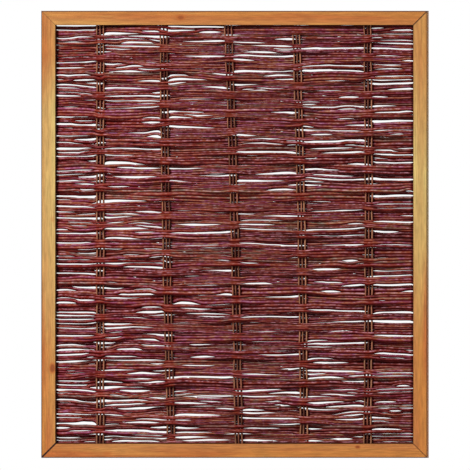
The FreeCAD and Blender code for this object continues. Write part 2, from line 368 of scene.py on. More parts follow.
# The waxy bloom, painted as a highlight on the lit crests of the rods: on which faces by how far they turn up,
# on which mottle, and how much by a rod's share of it
BLOOM_HIGHLIGHT_FACES = (-0.05, 0.4, 0.55, 0.85)
BLOOM_HIGHLIGHT_MOTTLE = (0.42, 0.68)
BLOOM_HIGHLIGHT_SHARE = (0.0, 1.0, 0.2, 0.85)
# How far dark bark turns red, its roughness by its streaks, and their relief
BARK_WARMTH = 0.5
BARK_ROUGHNESS = (0.25, 0.75, 0.36, 0.58)
BARK_RELIEF = 0.5 * MM


def beside_groups(finish, uprights, x, z):
    """How far each place lies to the right of the middle of each group of uprights."""
    foot, head = upright_ends(UPRIGHTS[0])
    tall = head[2] - foot[2]
    rise = finish.maths("MULTIPLY_ADD", z, 1 / tall, -foot[2] / tall)
    swing = finish.maths("SINE", finish.maths("MULTIPLY", rise, math.pi))
    for group, shift, bow in zip(GROUPS, uprights.shift, uprights.bow):
        foot, head = upright_ends(middle_upright(group))
        station = finish.maths("MULTIPLY_ADD", rise, head[0] - foot[0], foot[0] + shift)
        station = finish.maths("MULTIPLY_ADD", swing, bow, station)
        yield finish.maths("SUBTRACT", x, station)


def light_by_frame(finish, x, z):
    """Light that the frame leaves on the rods near it."""
    edges = (
        (finish.maths("ABSOLUTE", x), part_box("right_stile")[0].x, -1, BY_STILE),
        (z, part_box("top_rail")[0].z, -1, BY_TOP_RAIL),
        (z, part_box("bottom_rail")[1].z, 1, BY_BOTTOM_RAIL))
    return finish.product(*(
        finish.graded(place, edge + way * far, edge + way * near, light, shade)
        for place, edge, way, (far, near, light, shade) in edges))


def willow_bark(colours, uprights):
    """Brown willow bark: red, plum, orange and greyed rods with streaks, a painted lit tint in front of the
    uprights, a bloom painted as a highlight, and painted shade and shadows.
    """
    finish = Finish("willow_bark")
    tone = finish.add("ShaderNodeAttribute", attribute_name=TONE).outputs["Color"]
    kind, lightness, bloom = finish.apart(tone)
    x, depth, z = finish.apart(finish.place)
    facing_up = finish.facing()[2]
    streaks = finish.noise(BARK_STREAKS, detail=4.0, roughness=0.6)
    patches = finish.noise(BARK_PATCHES, detail=3.0)
    mottle = finish.noise(BARK_MOTTLE, detail=3.0, roughness=0.6)

    stray = finish.maths("MULTIPLY_ADD", patches, 2 * KIND_STRAY, -KIND_STRAY)
    bark = finish.ramp(
        finish.maths("ADD", kind, stray), *((place, getattr(colours, name)) for place, name in BARK_KINDS))
    shadow = front = 0.0
    for beside in beside_groups(finish, uprights, x, z):
        shadow = finish.maths("MAXIMUM", shadow, finish.within(beside, *UPRIGHT_SHADOW))
        front = finish.maths("MAXIMUM", front, finish.within(beside, *FRONT_WIDTH))
    shadow = finish.maths("MULTIPLY", shadow, finish.graded(depth, *BEHIND))
    front = finish.product(finish.graded(depth, *IN_FRONT), front, FRONT_LIT_SHOWS)
    # Painted light on the rows that pass in front of the uprights
    bark = finish.mixed(front, bark, colours.bark_front_lit)

    by_frame = light_by_frame(finish, x, z)
    shade = finish.product(
        finish.maths("MULTIPLY_ADD", streaks, *STREAK_LIGHT),
        finish.graded(lightness, *TONE_LIGHT),
        finish.graded(mottle, *MOTTLE_LIGHT),
        finish.graded(facing_up, *DOWN_LIGHT),
        finish.graded(facing_up, *UP_LIGHT),
        by_frame,
        finish.maths("MULTIPLY_ADD", shadow, -SHADOW_DEPTH, 1.0))
    bark = finish.shaded(bark, shade, BARK_WARMTH)
    # Painted light: the bark lighter and more plum towards the left
    across = finish.maths("MULTIPLY_ADD", x, 0.5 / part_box("right_stile")[0].x, 0.5)
    bark = finish.mixed(1.0, bark, finish.ramp(across, *PAINTED_LEFT_LIGHT), blend="MULTIPLY")
    # Painted highlight: the bloom on the upper crests of the rods, where the light falls
    bloom_highlight = finish.product(
        finish.within(facing_up, *BLOOM_HIGHLIGHT_FACES), finish.graded(mottle, *BLOOM_HIGHLIGHT_MOTTLE),
        finish.graded(bloom, *BLOOM_HIGHLIGHT_SHARE), by_frame)
    bark = finish.mixed(bloom_highlight, bark, colours.bark_bloom_highlight)
    return finish.surface(bark, finish.graded(streaks, *BARK_ROUGHNESS), streaks, BARK_RELIEF, specular=0.1)


# How finely the uprights' bark is streaked and patched along each axis
UPRIGHT_STREAKS = (620, 620, 16)
UPRIGHT_PATCHES = (70, 70, 11)
# Where brown ends and tan begins in the blend of streaks and patches, and which patches are rosy, and how much
BROWN_END, TAN_START = 0.36, 0.6
ROSY_PATCHES = (0.48, 0.62, 0.0, 0.5)
# Which faces are lit, by how far they turn to the right, the light on the others, and how far these turn red
LIT_FACES = (-1.0, -0.6, -0.05, 0.5)
UNLIT = 0.24
UPRIGHT_WARMTH = 0.3
# Roughness by the streaks, and their relief
UPRIGHT_ROUGHNESS = (0.3, 0.7, 0.42, 0.6)
UPRIGHT_RELIEF = 0.4 * MM


def upright_bark(colours):
    """Paler weathered bark of the upright rods, streaked along their length."""
    finish = Finish("upright_bark")
    streaks = finish.noise(UPRIGHT_STREAKS, detail=4.0, roughness=0.6)
    patches = finish.noise(UPRIGHT_PATCHES)
    paleness = finish.add("ShaderNodeAttribute", attribute_name=TONE).outputs["Fac"]
    blend = finish.maths("MULTIPLY", finish.maths("ADD", streaks, patches), 0.5)
    bark = finish.ramp(
        finish.maths("ADD", blend, paleness),
        (BROWN_END, colours.upright_brown), (TAN_START, colours.upright_tan))
    bark = finish.mixed(finish.graded(patches, *ROSY_PATCHES), bark, colours.upright_pink)
    lit = finish.within(finish.facing()[0], *LIT_FACES)
    bark = finish.shaded(bark, finish.graded(lit, 0.0, 1.0, UNLIT, 1.0), UPRIGHT_WARMTH)
    roughness = finish.graded(streaks, *UPRIGHT_ROUGHNESS)
    return finish.surface(bark, roughness, streaks, UPRIGHT_RELIEF, specular=0.15)


# How finely the timber is streaked, swells and is mottled, along its grain and across it
PINE_STREAKS = (7, 420)
PINE_SWELL = (2.2, 34)
PINE_MOTTLE = (16, 130)
# Width of a ring of the wood, how far rings lean with the depth and swell along the grain, and where late wood
# lies in a ring's wave
RING = 4.2 * MM
RING_LEAN = 0.35
RING_SWELL = 30 * MM
LATE_WOOD = (-0.2, 1.0)
# Knots in each timber: along it and across it in the panel's frame and their half width, in metres, and how dark
KNOTS = {
    "top_rail": ((-0.169, 1.379, 0.0095, 0.85),),
    "bottom_rail": ((0.388, 0.034, 0.0055, 1.0), (-0.40, 0.014, 0.009, 0.36)),
    "left_stile": ((0.747, -0.572, 0.007, 0.28), (0.281, -0.572, 0.0105, 1.0)),
    "right_stile": (),
}
# Width of a knot as a share of its length along the grain, and how far it bends the rings in half widths
KNOT_REACH = 0.6
KNOT_BEND = 0.5
# Where rings bend and where the knot is dark, in half widths from its heart, and how its rim and its core show
KNOT_BENDS = (4.0, 0.5)
KNOT_DARK = (1.5, 0.3)
KNOT_RIM = (0.0, 0.6, 0.0, 0.7)
KNOT_CORE = (0.5, 1.0, 0.0, 0.75)
# How thin the stain is along each timber: places from its low end to its high end, and amounts
THIN_STAIN = {
    "top_rail": ((0.0, 0.16), (0.3, 0.06), (0.5, 0.04), (1.0, 0.0)),
    "bottom_rail": ((0.0, 0.0), (0.2, 0.12), (0.5, 0.06), (1.0, 0.04)),
    "left_stile": (
        (0.0, 0.06), (0.1, 0.08), (0.24, 0.14), (0.37, 0.5),
        (0.5, 0.68), (0.63, 0.76), (0.78, 0.74), (0.9, 0.14)),
    "right_stile": (
        (0.0, 0.0), (0.1, 0.0), (0.24, 0.03), (0.37, 0.3),
        (0.5, 0.66), (0.63, 0.84), (0.77, 0.5), (0.9, 0.24)),
}
# How much thinner it is at the edge beside the weave, and by what factors where the wood swells
EDGE_THINNER = 0.2
SWELL_THINNER = (0.2, 0.75, 0.7, 1.25)
# Where red wood turns to orange by its swell, how much late wood and streaks show, and the light on its mottle
ORANGE_SWELL = (0.38, 0.62)
LATE_SHOWS = 0.26
DARK_STREAKS = (0.5, 0.2, 0.0, 0.4)
PALE_STREAKS = (0.55, 0.8, 0.0, 0.3)
PINE_LIGHT = (0.3, 0.7, 0.84, 1.14)
# Faces of a mitre, by how they turn; faces towards the weave, which get painted shade, by how they turn; and the
# darkened outer edge, by the distance from it
MITRE_FACES = (0.4, 0.48)
INNER_FACE_SHADE = (0.6, 0.95, 0.0, 0.7)
DARK_OUTER_EDGE = (3.8 * MM, 1.8 * MM, 0.0, 0.92)
# Faces of an arris, by how far they turn to the front or back, and how much of its colour they show
ARRIS_FACES = (0.2, 0.5, 0.85, 0.95)
ARRIS_SHOWS = 0.85
# How dark the mitre is at each end of a timber, its low end first, and how far along it the dark reaches
DARK_MITRE = {
    "top_rail": ((0.25, 2 * MM), (0.8, 2.4 * MM)),
    "bottom_rail": ((1.0, 3.4 * MM), (0.6, 2 * MM)),
    "left_stile": ((1.0, 3.4 * MM), (0.25, 2 * MM)),
    "right_stile": ((0.6, 2 * MM), (0.8, 2.4 * MM)),
}
# How far the dark of a mitre blurs at its edge
MITRE_BLUR = 0.7 * MM
# Roughness by the streaks, the relief, and the share of late wood in it
PINE_ROUGHNESS = (0.2, 0.8, 0.5, 0.66)
PINE_RELIEF = 0.12 * MM
LATE_RELIEF = 0.5


def along_grain(grain, lengthwise, sideways):
    """A noise's scale for each axis, from its scales along the grain and across it."""
    return (lengthwise, sideways, sideways) if grain == "X" else (sideways, sideways, lengthwise)


def rings_and_knots(finish, timber, along, across, depth, swell):
    """How much late wood and how much of a knot each place has, with the rings bent round the knots."""
    rings = finish.maths("ADD", across, finish.maths("MULTIPLY", depth, RING_LEAN))
    rings = finish.maths("ADD", rings, finish.maths("MULTIPLY", swell, RING_SWELL))
    hearts = 0.0
    for heart_along, heart_across, half, darkness in KNOTS[timber]:
        lengthwise = finish.maths("MULTIPLY", finish.maths("SUBTRACT", along, heart_along), KNOT_REACH / half)
        sideways = finish.maths("MULTIPLY", finish.maths("SUBTRACT", across, heart_across), 1 / half)
        step = finish.together(lengthwise, sideways, 0.0)
        reach = finish.add("ShaderNodeVectorMath", {0: step}, operation="LENGTH").outputs["Value"]
        push = finish.maths("MULTIPLY", finish.graded(reach, *KNOT_BENDS), sideways)
        rings = finish.maths("SUBTRACT", rings, finish.maths("MULTIPLY", push, half * KNOT_BEND))
        hearts = finish.maths("MAXIMUM", hearts, finish.graded(reach, *KNOT_DARK, 0.0, darkness))
    late = finish.maths("SINE", finish.maths("MULTIPLY", rings, 2 * math.pi / RING))
    return finish.graded(late, *LATE_WOOD), hearts


def stained_pine(colours, timber, grain):
    """Stained softwood with its grain along the timber, its knots, darker arrises, and painted shade on the
    faces towards the weave.
    """
    finish = Finish(f"stained_pine_{timber}")
    x, depth, z = finish.apart(finish.place)
    facing_x, facing_y, facing_z = finish.facing()
    low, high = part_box(timber)
    if grain == "X":
        along, across, facing_across = x, z, facing_z
        start, end, sides = low.x, high.x, (low.z, high.z)
    else:
        along, across, facing_across = z, x, facing_x
        start, end, sides = low.z, high.z, (low.x, high.x)
    inner, outer = sorted(sides, key=lambda side: abs(side - CAD_MIDDLE[grain]))
    streaks = finish.noise(along_grain(grain, *PINE_STREAKS), detail=4.0, roughness=0.65)
    swell = finish.noise(along_grain(grain, *PINE_SWELL))
    mottle = finish.noise(along_grain(grain, *PINE_MOTTLE), detail=3.0, roughness=0.6)
    late, hearts = rings_and_knots(finish, timber, along, across, depth, swell)

    length_share = finish.graded(along, start, end)
    length_share.node.interpolation_type = "LINEAR"
    thin = finish.ramp(length_share, *((place, (amount,) * 3) for place, amount in THIN_STAIN[timber]))
    thin = finish.maths("MULTIPLY", thin, finish.graded(swell, *SWELL_THINNER))
    thin = finish.maths("ADD", thin, finish.graded(across, outer, inner, -EDGE_THINNER / 2, EDGE_THINNER / 2))
    wood = finish.layered(
        finish.mixed(finish.graded(swell, *ORANGE_SWELL), colours.pine_red, colours.pine_orange),
        (thin, colours.pine_straw),
        (finish.maths("MULTIPLY", late, LATE_SHOWS), colours.pine_dark),
        (finish.graded(streaks, *DARK_STREAKS), colours.pine_dark),
        (finish.graded(streaks, *PALE_STREAKS), colours.pine_straw))
    wood = finish.shaded(wood, finish.graded(mottle, *PINE_LIGHT))

    mitre = finish.maths("ABSOLUTE", finish.maths("MULTIPLY", facing_x, facing_z))
    towards_weave = finish.maths("MULTIPLY", facing_across, 1 if inner > outer else -1)
    from_outer = finish.maths("ABSOLUTE", finish.maths("SUBTRACT", across, outer))
    slant = finish.maths("ABSOLUTE", facing_y)
    # Knots, end grain on the mitres, painted shade on the faces towards the weave, and the darkened outer edge
    wood = finish.layered(
        wood,
        (finish.graded(hearts, *KNOT_RIM), colours.knot_rim),
        (finish.graded(hearts, *KNOT_CORE), colours.knot),
        (finish.graded(mitre, *MITRE_FACES), colours.pine_end_and_shade),
        (finish.graded(towards_weave, *INNER_FACE_SHADE), colours.pine_end_and_shade),
        (finish.maths("MULTIPLY", finish.graded(from_outer, *DARK_OUTER_EDGE), slant), colours.pine_arris))
    for tip, (darkness, dark_reach) in zip((start, end), DARK_MITRE[timber]):
        from_tip = finish.maths("ABSOLUTE", finish.maths("SUBTRACT", along, tip))
        from_mitre = finish.maths("SUBTRACT", from_tip, from_outer)
        dark = finish.graded(from_mitre, dark_reach + MITRE_BLUR, dark_reach - MITRE_BLUR, 0.0, darkness)
        wood = finish.mixed(dark, wood, colours.pine_end_and_shade)
    arris = finish.maths("MULTIPLY", finish.within(slant, *ARRIS_FACES), ARRIS_SHOWS)
    wood = finish.mixed(arris, wood, colours.pine_arris)
    relief = finish.maths("ADD", streaks, finish.maths("MULTIPLY", late, LATE_RELIEF))
    return finish.surface(wood, finish.graded(streaks, *PINE_ROUGHNESS), relief, PINE_RELIEF, specular=0.2)


# How finely the tongues are streaked along each axis, which streaks are pale, their roughness and their relief
TONGUE_STREAKS = (240, 240, 40)
TONGUE_PALE = (0.3, 0.7)
TONGUE_ROUGHNESS = 0.6
TONGUE_RELIEF = 0.1 * MM


def bare_wood(colours):
    """Plain unstained wood of the hidden corner tongues."""
    finish = Finish("bare_tongue_wood")
    streaks = finish.noise(TONGUE_STREAKS, detail=3.0)
    wood = finish.mixed(finish.graded(streaks, *TONGUE_PALE), colours.tongue, colours.pine_straw)
    return finish.surface(wood, TONGUE_ROUGHNESS, streaks, TONGUE_RELIEF)


def solid(node):
    """The object of a solid in the frame, which has to be there."""
    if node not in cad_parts:
        raise RuntimeError(f"the frame has no {node}")
    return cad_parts[node]


def deselect_all():
    """Nothing selected, so that the next operator acts on its own piece alone."""
    bpy.ops.object.select_all(action="DESELECT")


# Half of a straight rod's length, and the angle up to which its faces are shaded as one
HALF_WAY = 0.5
SMOOTH_ANGLE = math.radians(60)


def straight_rod(name, sides, places):
    """A straight rod one unit long and one in radius, cut into rings, with a map folded for its bark."""
    deselect_all()
    bpy.ops.mesh.primitive_cylinder_add(
        vertices=sides, radius=1, depth=1, location=(HALF_WAY, 0, 0), rotation=(0, math.pi / 2, 0))
    rod = bpy.context.object
    rod.name = name
    bpy.ops.object.transform_apply(location=True, rotation=True, scale=True)
    bpy.ops.object.mode_set(mode="EDIT")
    bpy.ops.mesh.select_mode(type="EDGE")
    bpy.ops.mesh.select_all(action="DESELECT")
    bpy.ops.object.mode_set(mode="OBJECT")
    ends = rod.data.vertices
    for edge in rod.data.edges:
        first, last = (ends[number].co for number in edge.vertices)
        edge.select = abs(first.x - last.x) > HALF_WAY
    bpy.ops.object.mode_set(mode="EDIT")
    bpy.ops.mesh.subdivide(number_cuts=places - 2)
    bpy.ops.object.mode_set(mode="OBJECT")
    bpy.ops.object.shade_smooth_by_angle(angle=SMOOTH_ANGLE)
    fold_map(rod)
    return rod


# Strips that a rod's map is folded into, and the margin at both edges of one as a share of its height
FOLDS = 4
FOLD_MARGIN = 0.03
# Width of the strip for the two cut ends, how high each lies in it, and how far an end reaches from its middle
CAP_STRIP = 0.02
CAP_HEIGHTS = (0.25, 0.75)
CAP_ACROSS = 0.35 * CAP_STRIP
CAP_UP = 0.1
# Width of the strips of bark, which leaves half a cut end's strip free beside them
BARK_STRIP = 1 - 1.5 * CAP_STRIP
# How squarely a face looks along the rod to be a cut end
CAP_FACING = 0.9


def fold_map(rod):
    """A map that lays the bark out in folded strips, with the two cut ends in a narrow strip beside them."""
    mesh = rod.data
    while mesh.uv_layers:
        mesh.uv_layers.remove(mesh.uv_layers[0])
    layer = mesh.uv_layers.new(name=BAKE_MAP)
    for face in mesh.polygons:
        corners = [mesh.vertices[number].co for number in face.vertices]
        middle = sum(corners, Vector()) / len(corners)
        is_cap = abs(face.normal.x) > CAP_FACING
        fold = min(int(middle.x * FOLDS), FOLDS - 1)
        turn = math.atan2(middle.z, middle.y)
        for loop, corner in zip(face.loop_indices, corners):
            if is_cap:
                across = 1 - CAP_STRIP / 2 + corner.y * CAP_ACROSS
                up = CAP_HEIGHTS[middle.x > HALF_WAY] + corner.z * CAP_UP
            else:
                step = math.atan2(corner.z, corner.y) - turn
                step = (step + math.pi) % (2 * math.pi) - math.pi
                around = (turn + step) / (2 * math.pi) + 0.5
                across = (corner.x * FOLDS - fold) * BARK_STRIP
                up = (fold + FOLD_MARGIN + (1 - 2 * FOLD_MARGIN) * around) / FOLDS
            layer.uv[loop].vector = (across, up)


def bent_copy(straight, name, points, radii, tilt):
    """A copy of the straight rod, bent along a line of points and as thick as its radii."""
    copy = straight.copy()
    copy.data = straight.data.copy()
    copy.name = name
    bpy.context.collection.objects.link(copy)
    deselect_all()
    bpy.ops.curve.primitive_nurbs_path_add()
    path = bpy.context.object
    path.data.splines.clear()
    spline = path.data.splines.new("POLY")
    spline.points.add(len(points) - 1)
    spline.points.foreach_set("co", np.column_stack((points, np.ones(len(points)))).ravel())
    spline.points.foreach_set("radius", radii)
    spline.points.foreach_set("tilt", np.full(len(points), tilt))
    path.data.use_stretch = True
    path.data.use_deform_bounds = True
    bend = copy.modifiers.new("Bend", "CURVE")
    bend.object = path
    bend.deform_axis = "POS_X"
    deselect_all()
    copy.select_set(True)
    bpy.context.view_layer.objects.active = copy
    if bpy.ops.object.modifier_apply(modifier=bend.name) != {"FINISHED"}:
        raise RuntimeError(f"{name} could not be bent")
    bpy.data.objects.remove(path)
    return copy


def joined(rods, name):
    """Several rods made one piece."""
    deselect_all()
    for rod in rods:
        rod.select_set(True)
    bpy.context.view_layer.objects.active = rods[0]
    if len(rods) > 1:
        bpy.ops.object.join()
    piece = bpy.context.object
    piece.name = name
    piece.data.name = name
    return piece


# Lengths of the waves in a random line, as factors on the reach of its bends
WAVE_STRETCHES = (0.6, 1.0, 1.7)


def waves(rng, places, reach):
    """A smooth random line about nought, with bends about as long as reach."""
    line = np.zeros_like(places)
    for stretch in WAVE_STRETCHES:
        line += np.sin(2 * math.pi * places / (reach * stretch) + rng.uniform(0, 2 * math.pi))
    return line / math.sqrt(len(WAVE_STRETCHES) / 2)


def eased(value):
    """Nought to one, smooth at both ends."""
    value = np.clip(value, 0, 1)
    return value * value * (3 - 2 * value)


# How far apart corners may lie that are at the same height
SAME_HEIGHT = 0.01 * MM


@functools.cache
def upright_ends(node):
    """Middle of an upright's foot and of its head."""
    points = np.array([corner.co for corner in solid(node).data.vertices])
    ends = []
    for height in (points[:, 2].min(), points[:, 2].max()):
        ring = points[np.abs(points[:, 2] - height) < SAME_HEIGHT]
        ends.append((ring.min(0) + ring.max(0)) / 2)
    return ends


def upright_line(node, uprights, heights):
    """Places of an upright's axis at some heights, shifted and bowed sideways with its group."""
    foot, head = upright_ends(node)
    place = GROUPS.index(group_of(node))
    rise = (heights - foot[2]) / (head[2] - foot[2])
    line = foot + np.outer(rise, head - foot)
    line[:, 0] += uprights.shift[place] + uprights.bow[place] * np.sin(math.pi * np.clip(rise, 0, 1))
    return line


# Reach of an upright's bends sideways and from front to back, and of its swellings, in metres
UPRIGHT_BENDS = 0.16
UPRIGHT_SWAYS = 0.2
UPRIGHT_SWELLS = 0.07
# How far an upright swells, and how far its paleness strays, as shares
UPRIGHT_SWELLING = 0.04
PALE_STRAY = 0.05
# Size of a rod's bends from front to back as a share of those that show from the front
KINK_DEPTH = 0.5


class HURDLE_OT_uprights(bpy.types.Operator):
    """Bends a round rod along each upright"""

    bl_idname = "hurdle.uprights"
    bl_label = "Upright Rods"

    def execute(self, context):
        settings = context.scene.hurdle_uprights
        if len(GROUPS) != len(settings.bow):
            raise RuntimeError(f"{len(GROUPS)} groups of uprights, but a bow for {len(settings.bow)}")
        finish = upright_bark(context.scene.hurdle_colours)
        rng = np.random.default_rng(settings.seed)
        straight = straight_rod("straight_upright", settings.sides, settings.places)
        for node in UPRIGHTS:
            foot, head = upright_ends(node)
            low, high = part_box(node)
            heights = np.linspace(foot[2], head[2], settings.places)
            line = upright_line(node, settings, heights)
            line[:, 0] += settings.kink * waves(rng, heights, UPRIGHT_BENDS)
            line[:, 1] += settings.kink * KINK_DEPTH * waves(rng, heights, UPRIGHT_SWAYS)
            radius = (high.y - low.y) / 2
            taper = 1 - settings.taper * np.linspace(0, 1, settings.places)
            radii = radius * taper * (1 + UPRIGHT_SWELLING * waves(rng, heights, UPRIGHT_SWELLS))
            rod = bent_copy(straight, f"round_{node}", line, radii, rng.uniform(0, 2 * math.pi))
            is_middle = node == middle_upright(group_of(node))
            pale = rng.normal(settings.middle_pale if is_middle else settings.outer_pale, PALE_STRAY)
            tone = rod.data.attributes.new(TONE, "FLOAT", "POINT")
            tone.data.foreach_set("value", np.full(len(rod.data.vertices), pale, np.float32))
            rod.data.materials.append(finish)
            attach(rod, BODY)
            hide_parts(node)
        bpy.data.objects.remove(straight)
        return {"FINISHED"}


# How far the rods fill a row, and how open a row may be at most
FULLNESS = 1.14
MOST_OPEN = 0.34
# How far a rod's thickness strays, as a share and in how many such steps at most
ROD_STRAY = 0.18
STRAY_STEPS = 2
# Share by which a rod swells at its joints, and the reach of these swellings and of its small bends, in metres
ROD_SWELLING = 0.022
ROD_SWELLS = 0.08
ROD_BENDS = 0.12
# How far past the middle a spliced rod's tip lies, in metres, and the power by which the rod thins towards it
SPLICE_TIPS = (0.12, 0.42)
SPLICE_TAPER = 1.3
# Least share of their thickness at which rods without a slit between them are set apart, the packing up to which
# they bunch from front to back, and the height of a slit from which the rods beside it stand fully apart
LEAST_PACKING = 0.25
LEAST_BUNCHED = 0.6
SLIT_CLEAR = 2 * MM
# How many slits a row has in each span from left to right, and by what factor at some heights in metres
SPAN_SLITS = (2.9, 1.8, 0.85, 0.8, 1.35, 1.2)
HEIGHT_SLITS = (
    (0, 2.8), (0.13, 2.5), (0.27, 1.25), (0.41, 0.75), (0.55, 0.9), (0.84, 0.9), (0.99, 1.45), (1.4, 1.3))
# Least room between a slit and the next one above it, and how far slits that find no room widen the others
SLIT_ROOM = 6 * MM
SLIT_WIDER = 0.3
# How a slit lies in its span, and how often it lies so in the inner spans and in the two beside the frame
SLIT_WAYS = ("whole", "from left", "from right", "free")
INNER_WAYS = (0.16, 0.32, 0.32, 0.2)
END_WAYS = (0.6, 0.18, 0.18, 0.04)
# Share of its span that a slit runs over if it isn't whole, and share of the slit that is drawn out
SLIT_RUN = (0.3, 0.95)
SLIT_DRAWN_OUT = (0.55, 1.0)
# How far a slit stays from the middle of the uprights, or how far it runs on past them, and how often
SLIT_SHORT = 4 * MM
SLIT_PAST = 17 * MM
SLIT_RUNS_ON = 0.25
# How far a slit runs into the frame
SLIT_INTO_FRAME = 8 * MM
# Length over which a slit opens where uprights or the frame end it
SLIT_STEP = 16 * MM
# Half length over which a row is gathered at uprights, and half length of where it is gathered fully
GATHER_REACH = 46 * MM
GATHER_FLAT = 13 * MM
# Half length over which a row runs flat past uprights, its clearance there, and how far aside its ends lie
PASS_FLAT = 16 * MM
PASS_CLEAR = 0.4 * MM
END_SIDE = 0.25
# Distance from the rails over which rows are stilled, in metres, and the waves of their rise and fall: size,
# length along a row and from row to row in metres, and start as a share of a turn
CALM = 0.09
DRIFTS = ((1.0, 0.61, 0.47, 0.0), (0.8, 0.37, -0.31, 0.3), (0.5, 0.23, 0.19, 0.7))


class WovenRow:
    """One row of the weave: which rods lie in it, how thick they are, and where they run."""

    def __init__(self, settings, uprights, row, rng, room):
        self.settings = settings
        self.row = row
        self.rng = rng
        self.room = list(room)
        self.low, self.high = low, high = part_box(WEAVE_NODE)
        self.pitch = (high.z - low.z) / settings.rows
        self.base = low.z + row * self.pitch
        self.places = np.linspace(low.x, high.x, settings.places)
        middle = np.array([self.base + self.pitch / 2])
        self.stations = [upright_line(middle_upright(group), uprights, middle)[0, 0] for group in GROUPS]
        from_top = settings.rows - 1 - row
        self.sides = [1 if (from_top + number) % 2 == 0 else -1 for number in range(len(GROUPS))]
        self.thicknesses = self.lay_rods()

    def lay_rods(self):
        """Thickness of each rod at each place, nought where the rod isn't."""
        settings, rng = self.settings, self.rng
        rods = []
        for number in range(settings.rods + (rng.random() < settings.four_rods)):
            if rng.random() < settings.splices:
                rods += self.spliced_pair()
            else:
                rods.append(self.whole_rod(flip=(self.row + number) % 2 == 1))
        rods = np.array(rods)
        return rods * FULLNESS * self.pitch / rods.sum(0)

    def swollen(self, thickness):
        """A thickness with the small swellings of a rod's joints."""
        return thickness * (1 + ROD_SWELLING * waves(self.rng, self.places, ROD_SWELLS))

    def whole_rod(self, flip):
        """A rod that tapers across the whole width."""
        across = (self.places - self.low.x) / (self.high.x - self.low.x)
        if flip:
            across = 1 - across
        thickness = self.settings.butt + (self.settings.tip - self.settings.butt) * across
        return self.swollen(thickness * (1 + ROD_STRAY * np.clip(self.rng.normal(), -STRAY_STEPS, STRAY_STEPS)))

    def spliced_pair(self):
        """Two rods from opposite sides, whose tips pass each other."""
        butt, tip = self.settings.butt, self.settings.splice_tip
        pair = []
        for way in (1, -1):
            tip_place = self.rng.uniform(*SPLICE_TIPS)
            run = (way * self.places - self.low.x) / (tip_place - self.low.x)
            thickness = butt + (tip - butt) * np.clip(run, 0, 1) ** SPLICE_TAPER
            pair.append(np.where(run <= 1, self.swollen(thickness), 0))
        return pair

    def slits(self):
        """Height of the see-through slit under each rod at each place, drawn span by span with room between."""
        rng = self.rng
        slits = np.zeros_like(self.thicknesses)
        edges = self.edges()
        openness = np.interp(self.base - self.low.z, *zip(*HEIGHT_SLITS))
        for span, (start, end, mean) in enumerate(zip(edges, edges[1:], SPAN_SLITS)):
            middle = np.abs(self.places - (start + end) / 2).argmin()
            feet = np.cumsum(self.thicknesses[:, middle]) - self.thicknesses[:, middle]
            feet /= FULLNESS
            wanted = rng.poisson(mean * openness)
            taken, levels = [-self.room[span]], []
            for level in rng.permutation(np.arange(self.row == 0, len(slits))):
                if len(levels) < wanted and np.abs(feet[level] - taken).min() > SLIT_ROOM:
                    taken.append(feet[level])
                    levels.append(level)
            for level in levels:
                wider = (wanted / len(levels)) ** SLIT_WIDER
                slits[level] = np.maximum(slits[level], self.slit(start, end) * wider)
            self.room[span] = self.pitch - max(taken)
        most = MOST_OPEN * self.pitch
        return slits * (most / np.maximum(slits.sum(0), most))

    def slit(self, start, end):
        """Height of one slit at each place: blunt where uprights end it, and drawn out where its rods meet."""
        settings, rng = self.settings, self.rng
        height = rng.uniform(settings.slit_low, settings.slit_high)
        run = rng.uniform(*SLIT_RUN) * (end - start)
        drawn_out = rng.uniform(*SLIT_DRAWN_OUT) * run
        inner = start in self.stations and end in self.stations
        way = rng.choice(SLIT_WAYS, p=INNER_WAYS if inner else END_WAYS)
        left, right = start - self.past(start), end + self.past(end)
        left_step = right_step = SLIT_STEP
        if way == "free":
            left = rng.uniform(start, end - run)
            right = left + run
            left_step = right_step = drawn_out / 2
        elif way == "from left":
            right = start + run
            right_step = drawn_out
        elif way == "from right":
            left = end - run
            left_step = drawn_out
        return height * eased((self.places - left) / left_step) * eased((right - self.places) / right_step)

    def past(self, edge):
        """How far a slit runs past an edge of its span, or less than nought where it stops short of it."""
        if edge not in self.stations:
            return SLIT_INTO_FRAME
        return SLIT_PAST if self.rng.random() <= SLIT_RUNS_ON else -SLIT_SHORT

    def edges(self):
        """Where the spans of the row begin and end: the frame's inner edges and the uprights in between."""
        return [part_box("left_stile")[1].x, *self.stations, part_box("right_stile")[0].x]

    def gathered(self):
        """Factor on the row's height at each place: narrow in front of uprights, wide behind them."""
        factor = np.ones_like(self.places)
        if 0 < self.row < self.settings.rows - 1:
            for station, way in zip(self.stations, self.sides):
                near = (GATHER_REACH - np.abs(self.places - station)) / (GATHER_REACH - GATHER_FLAT)
                factor += self.settings.gather * way * eased(near)
        return factor

    def cross(self, heights, below, above):
        """Lets some neighbours change places in the middle of a span, and gives how far they are crossing."""
        crossing = np.zeros_like(heights)
        rods = self.thicknesses
        edges = self.edges()
        for lower in range(self.rng.integers(2), len(heights) - 1, 2):
            if self.rng.random() < self.settings.crossings:
                upper = lower + 1
                span = self.rng.integers(len(edges) - 1)
                start, end = edges[span], edges[span + 1]
                moved = eased((self.places - start) / (end - start))
                bottom = heights[lower] - rods[lower] * below[lower]
                top = heights[upper] + rods[upper] * above[upper]
                heights[lower] += (top - rods[lower] * above[upper] - heights[lower]) * moved
                heights[upper] += (bottom + rods[upper] * below[lower] - heights[upper]) * moved
                crossing[[lower, upper]] = 4 * moved * (1 - moved)
        return crossing

    def heights(self):
        """Each rod's height at each place, how closely it is packed, how far it crosses, and slits beside it."""
        slits, rods = self.slits(), self.thicknesses
        below = eased(slits / SLIT_CLEAR)
        above = np.vstack((below[1:], np.zeros_like(self.places)))
        beside = np.maximum(below, above)
